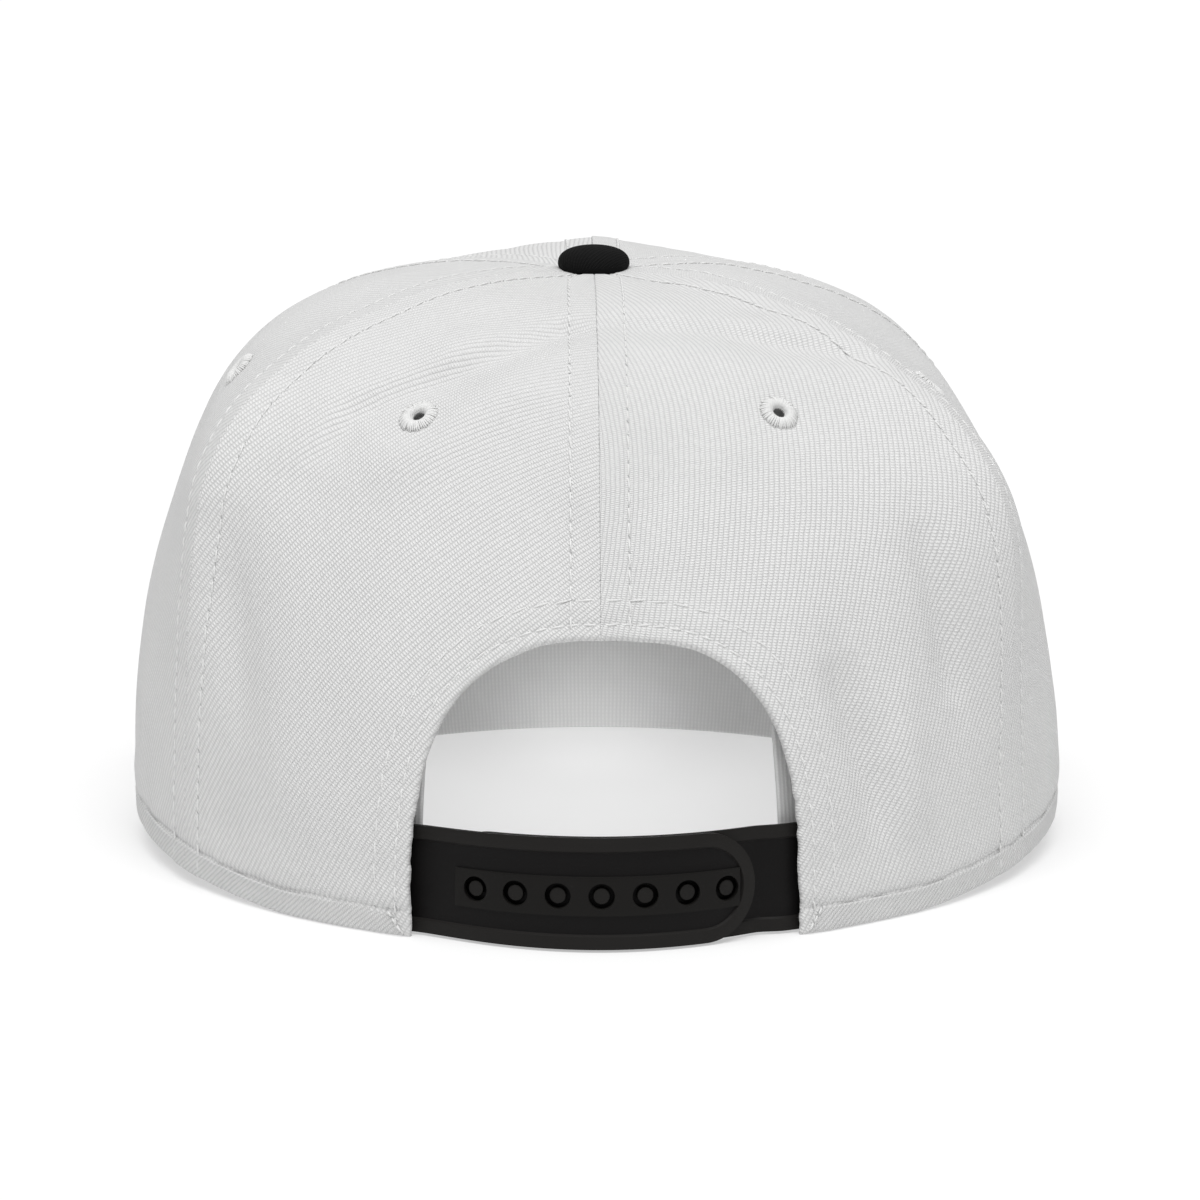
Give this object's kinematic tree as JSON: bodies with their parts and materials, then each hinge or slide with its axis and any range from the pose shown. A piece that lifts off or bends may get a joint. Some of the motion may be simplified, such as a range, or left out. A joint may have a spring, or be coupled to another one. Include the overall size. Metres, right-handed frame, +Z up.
{
  "type": "snapback cap",
  "caption": "Six-panel snapback cap with a cloth crown, sweatband, embroidered eyelets, top button, flat peak and a snap strap across a rear arch.",
  "frame": {"origin": "centre of the cap's footprint, from the peak's tip to the back of the strap, on the surface it rests on", "axes": "+Z up, -Y towards the peak, +Y towards the strap, +X towards the wearer's left"},
  "size_m": [0.1778, 0.2701, 0.1121],
  "materials": {
    "white_cloth": "white twill cloth, matt, with topstitched seams",
    "white_thread": "white embroidery thread with a slight sheen",
    "band_cloth": "off-white ribbed sweatband cloth",
    "black_cloth": "black twill cloth, matt",
    "black_plastic": "black moulded plastic, satin"
  },
  "bodies": {
    "root": {"panel_back_left": "white_cloth", "panel_back_right": "white_cloth", "panel_side_left": "white_cloth", "panel_side_right": "white_cloth", "panel_front_left": "white_cloth", "panel_front_right": "white_cloth", "eyelet_back_left": "white_thread", "eyelet_back_right": "white_thread", "eyelet_side_left": "white_thread", "eyelet_side_right": "white_thread", "eyelet_front_left": "white_thread", "eyelet_front_right": "white_thread", "top_button": "black_cloth", "sweatband": "band_cloth", "peak": "black_cloth", "snap_strap_holes": "black_plastic", "snap_strap_pegs": "black_plastic"}
  },
  "joints": []
}
